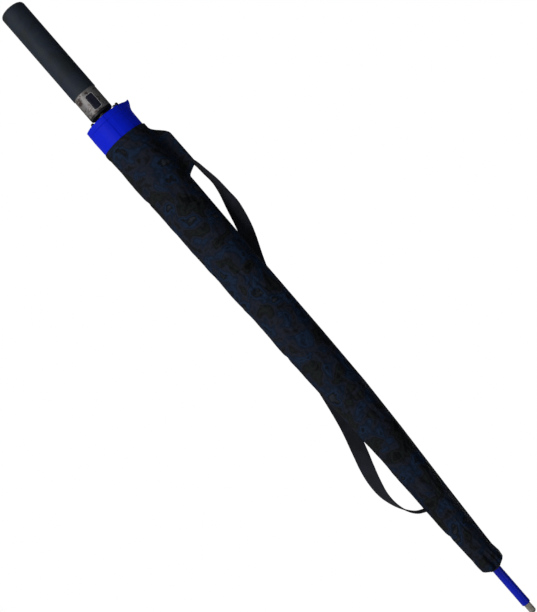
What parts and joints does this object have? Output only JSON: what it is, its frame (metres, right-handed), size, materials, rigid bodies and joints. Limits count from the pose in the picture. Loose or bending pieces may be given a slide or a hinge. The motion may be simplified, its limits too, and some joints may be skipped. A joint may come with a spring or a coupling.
{
  "type": "golf umbrella",
  "caption": "Long golf umbrella, closed, with a straight foam grip, push-button collar and blue canopy, in a carry sleeve with a shoulder strap.",
  "frame": {"origin": "on the shaft's axis, at the middle of the hand grip", "axes": "+Z along the shaft from the handle to the ferrule; the push button faces -Y, turned 10 degrees towards -X; the strap's loops stand out along -X near the handle and +X near the ferrule"},
  "size_m": [0.11, 0.0634, 0.994],
  "materials": {
    "foam": "closed-cell foam, satin",
    "black_plastic": "moulded, satin",
    "chrome_collar": "polished",
    "button": "moulded, satin",
    "steel_shaft": "drawn tube",
    "spring_steel": "plain",
    "blue_paint": "gloss paint",
    "tip_metal": "dull nickel",
    "rib_black": "black coated fibreglass and steel",
    "fitting_nickel": "nickel-plated sheet",
    "stretcher_black": "black coated steel",
    "canopy_blue": "woven polyester",
    "sleeve_nylon": "woven nylon, mottled",
    "webbing": "woven strap",
    "binding": "bound edge"
  },
  "bodies": {
    "shaft_and_handle": {"handle_grip": "foam", "handle_end_cap": "black_plastic", "handle_core": "black_plastic", "shaft": "steel_shaft", "button_collar": "chrome_collar", "collar_bumper": "black_plastic", "catch_pin": "spring_steel", "button_spring": "spring_steel", "notch_crown": "black_plastic", "notch_ring": "spring_steel", "canopy_washer": "black_plastic", "canopy_cap": "black_plastic", "ferrule": "blue_paint", "ferrule_tip": "tip_metal", "top_stop": "spring_steel"},
    "runner": {"runner": "black_plastic", "runner_ring": "spring_steel"},
    "push_button": {"push_button": "button"},
    "catch_lever": {"catch_lever": "spring_steel"},
    "sleeve": {"sleeve": "sleeve_nylon", "mouth_binding": "binding", "shoulder_strap": "webbing", "end_cord": "binding"},
    "rib_1": {"rib_1": "rib_black", "rib_fittings_1": "fitting_nickel"},
    "stretcher_1": {"stretcher_1": "stretcher_black"},
    "gore_1": {"gore_1": "canopy_blue"},
    "rib_2": {"rib_2": "rib_black", "rib_fittings_2": "fitting_nickel"},
    "stretcher_2": {"stretcher_2": "stretcher_black"},
    "gore_2": {"gore_2": "canopy_blue"},
    "rib_3": {"rib_3": "rib_black", "rib_fittings_3": "fitting_nickel"},
    "stretcher_3": {"stretcher_3": "stretcher_black"},
    "gore_3": {"gore_3": "canopy_blue"},
    "rib_4": {"rib_4": "rib_black", "rib_fittings_4": "fitting_nickel"},
    "stretcher_4": {"stretcher_4": "stretcher_black"},
    "gore_4": {"gore_4": "canopy_blue"},
    "rib_5": {"rib_5": "rib_black", "rib_fittings_5": "fitting_nickel"},
    "stretcher_5": {"stretcher_5": "stretcher_black"},
    "gore_5": {"gore_5": "canopy_blue"},
    "rib_6": {"rib_6": "rib_black", "rib_fittings_6": "fitting_nickel"},
    "stretcher_6": {"stretcher_6": "stretcher_black"},
    "gore_6": {"gore_6": "canopy_blue"},
    "rib_7": {"rib_7": "rib_black", "rib_fittings_7": "fitting_nickel", "closure_tab": "canopy_blue"},
    "stretcher_7": {"stretcher_7": "stretcher_black"},
    "gore_7": {"gore_7": "canopy_blue"},
    "rib_8": {"rib_8": "rib_black", "rib_fittings_8": "fitting_nickel"},
    "stretcher_8": {"stretcher_8": "stretcher_black"},
    "gore_8": {"gore_8": "canopy_blue"}
  },
  "joints": [
    {"name": "runner_slide", "type": "slide", "parent": "shaft_and_handle", "child": "runner", "axis": [0, 0, 1], "range_m": [0, 0.41836], "deforming": ["sleeve", "mouth_binding", "shoulder_strap", "end_cord"]},
    {"name": "rib_1_hinge", "type": "hinge", "parent": "shaft_and_handle", "child": "rib_1", "pos_m": [0.0082, 0, 0.80448], "axis": [0, -1, 0], "range_deg": [0, 68.93]},
    {"name": "stretcher_1_hinge", "type": "hinge", "parent": "rib_1", "child": "stretcher_1", "pos_m": [0.01415, 0, 0.48653], "axis": [0, 1, 0], "range_deg": [0, 137.86]},
    {"name": "gore_1_spread", "type": "slide", "parent": "rib_1", "child": "gore_1", "axis": [-0.127, 0.9202, 0.3703], "range_m": [0, 0.48935], "deforming": ["gore_1"]},
    {"name": "rib_2_hinge", "type": "hinge", "parent": "shaft_and_handle", "child": "rib_2", "pos_m": [0.0058, 0.0058, 0.80448], "axis": [0.7071, -0.7071, 0], "range_deg": [0, 68.93]},
    {"name": "stretcher_2_hinge", "type": "hinge", "parent": "rib_2", "child": "stretcher_2", "pos_m": [0.01, 0.01, 0.48653], "axis": [-0.7071, 0.7071, 0], "range_deg": [0, 137.86]},
    {"name": "gore_2_spread", "type": "slide", "parent": "rib_2", "child": "gore_2", "axis": [-0.7405, 0.5609, 0.3703], "range_m": [0, 0.48935], "deforming": ["gore_2"]},
    {"name": "rib_3_hinge", "type": "hinge", "parent": "shaft_and_handle", "child": "rib_3", "pos_m": [0, 0.0082, 0.80448], "axis": [1, 0, 0], "range_deg": [0, 68.93]},
    {"name": "stretcher_3_hinge", "type": "hinge", "parent": "rib_3", "child": "stretcher_3", "pos_m": [0, 0.01415, 0.48653], "axis": [-1, 0, 0], "range_deg": [0, 137.86]},
    {"name": "gore_3_spread", "type": "slide", "parent": "rib_3", "child": "gore_3", "axis": [-0.9202, -0.127, 0.3703], "range_m": [0, 0.48935], "deforming": ["gore_3"]},
    {"name": "rib_4_hinge", "type": "hinge", "parent": "shaft_and_handle", "child": "rib_4", "pos_m": [-0.0058, 0.0058, 0.80448], "axis": [0.7071, 0.7071, 0], "range_deg": [0, 68.93]},
    {"name": "stretcher_4_hinge", "type": "hinge", "parent": "rib_4", "child": "stretcher_4", "pos_m": [-0.01, 0.01, 0.48653], "axis": [-0.7071, -0.7071, 0], "range_deg": [0, 137.86]},
    {"name": "gore_4_spread", "type": "slide", "parent": "rib_4", "child": "gore_4", "axis": [-0.5609, -0.7405, 0.3703], "range_m": [0, 0.48935], "deforming": ["gore_4"]},
    {"name": "rib_5_hinge", "type": "hinge", "parent": "shaft_and_handle", "child": "rib_5", "pos_m": [-0.0082, 0, 0.80448], "axis": [0, 1, 0], "range_deg": [0, 68.93]},
    {"name": "stretcher_5_hinge", "type": "hinge", "parent": "rib_5", "child": "stretcher_5", "pos_m": [-0.01415, 0, 0.48653], "axis": [0, -1, 0], "range_deg": [0, 137.86]},
    {"name": "gore_5_spread", "type": "slide", "parent": "rib_5", "child": "gore_5", "axis": [0.127, -0.9202, 0.3703], "range_m": [0, 0.48935], "deforming": ["gore_5"]},
    {"name": "rib_6_hinge", "type": "hinge", "parent": "shaft_and_handle", "child": "rib_6", "pos_m": [-0.0058, -0.0058, 0.80448], "axis": [-0.7071, 0.7071, 0], "range_deg": [0, 68.93]},
    {"name": "stretcher_6_hinge", "type": "hinge", "parent": "rib_6", "child": "stretcher_6", "pos_m": [-0.01, -0.01, 0.48653], "axis": [0.7071, -0.7071, 0], "range_deg": [0, 137.86]},
    {"name": "gore_6_spread", "type": "slide", "parent": "rib_6", "child": "gore_6", "axis": [0.7405, -0.5609, 0.3703], "range_m": [0, 0.48935], "deforming": ["gore_6"]},
    {"name": "rib_7_hinge", "type": "hinge", "parent": "shaft_and_handle", "child": "rib_7", "pos_m": [0, -0.0082, 0.80448], "axis": [-1, 0, 0], "range_deg": [0, 68.93]},
    {"name": "stretcher_7_hinge", "type": "hinge", "parent": "rib_7", "child": "stretcher_7", "pos_m": [0, -0.01415, 0.48653], "axis": [1, 0, 0], "range_deg": [0, 137.86]},
    {"name": "gore_7_spread", "type": "slide", "parent": "rib_7", "child": "gore_7", "axis": [0.9202, 0.127, 0.3703], "range_m": [0, 0.48935], "deforming": ["gore_7"]},
    {"name": "rib_8_hinge", "type": "hinge", "parent": "shaft_and_handle", "child": "rib_8", "pos_m": [0.0058, -0.0058, 0.80448], "axis": [-0.7071, -0.7071, 0], "range_deg": [0, 68.93]},
    {"name": "stretcher_8_hinge", "type": "hinge", "parent": "rib_8", "child": "stretcher_8", "pos_m": [0.01, -0.01, 0.48653], "axis": [0.7071, 0.7071, 0], "range_deg": [0, 137.86]},
    {"name": "gore_8_spread", "type": "slide", "parent": "rib_8", "child": "gore_8", "axis": [0.5609, 0.7405, 0.3703], "range_m": [0, 0.48935], "deforming": ["gore_8"]},
    {"name": "sleeve_slide", "type": "slide", "parent": "shaft_and_handle", "child": "sleeve", "axis": [0, 0, 1], "range_m": [0, 0.8]},
    {"name": "button_press", "type": "slide", "parent": "shaft_and_handle", "child": "push_button", "axis": [0.1736, 0.9848, 0], "range_m": [0, 0.0022], "stiffness_N_per_m": 400, "springref_m": -0.003, "deforming": ["button_spring"]},
    {"name": "catch_lever_rock", "type": "hinge", "parent": "shaft_and_handle", "child": "catch_lever", "pos_m": [-0.00158, -0.00896, 0.074], "axis": [-0.9848, 0.1736, 0], "range_deg": [0, 5.3]}
  ],
  "couplings": [
    {"joint": "rib_1_hinge", "follows": "runner_slide", "rad_per_m": 2.8755},
    {"joint": "stretcher_1_hinge", "follows": "runner_slide", "rad_per_m": 5.7511},
    {"joint": "gore_1_spread", "follows": "runner_slide", "ratio": 1.1696},
    {"joint": "rib_2_hinge", "follows": "runner_slide", "rad_per_m": 2.8755},
    {"joint": "stretcher_2_hinge", "follows": "runner_slide", "rad_per_m": 5.7511},
    {"joint": "gore_2_spread", "follows": "runner_slide", "ratio": 1.1696},
    {"joint": "rib_3_hinge", "follows": "runner_slide", "rad_per_m": 2.8755},
    {"joint": "stretcher_3_hinge", "follows": "runner_slide", "rad_per_m": 5.7511},
    {"joint": "gore_3_spread", "follows": "runner_slide", "ratio": 1.1696},
    {"joint": "rib_4_hinge", "follows": "runner_slide", "rad_per_m": 2.8755},
    {"joint": "stretcher_4_hinge", "follows": "runner_slide", "rad_per_m": 5.7511},
    {"joint": "gore_4_spread", "follows": "runner_slide", "ratio": 1.1696},
    {"joint": "rib_5_hinge", "follows": "runner_slide", "rad_per_m": 2.8755},
    {"joint": "stretcher_5_hinge", "follows": "runner_slide", "rad_per_m": 5.7511},
    {"joint": "gore_5_spread", "follows": "runner_slide", "ratio": 1.1696},
    {"joint": "rib_6_hinge", "follows": "runner_slide", "rad_per_m": 2.8755},
    {"joint": "stretcher_6_hinge", "follows": "runner_slide", "rad_per_m": 5.7511},
    {"joint": "gore_6_spread", "follows": "runner_slide", "ratio": 1.1696},
    {"joint": "rib_7_hinge", "follows": "runner_slide", "rad_per_m": 2.8755},
    {"joint": "stretcher_7_hinge", "follows": "runner_slide", "rad_per_m": 5.7511},
    {"joint": "gore_7_spread", "follows": "runner_slide", "ratio": 1.1696},
    {"joint": "rib_8_hinge", "follows": "runner_slide", "rad_per_m": 2.8755},
    {"joint": "stretcher_8_hinge", "follows": "runner_slide", "rad_per_m": 5.7511},
    {"joint": "gore_8_spread", "follows": "runner_slide", "ratio": 1.1696},
    {"joint": "catch_lever_rock", "follows": "button_press", "rad_per_m": 38.873}
  ]
}
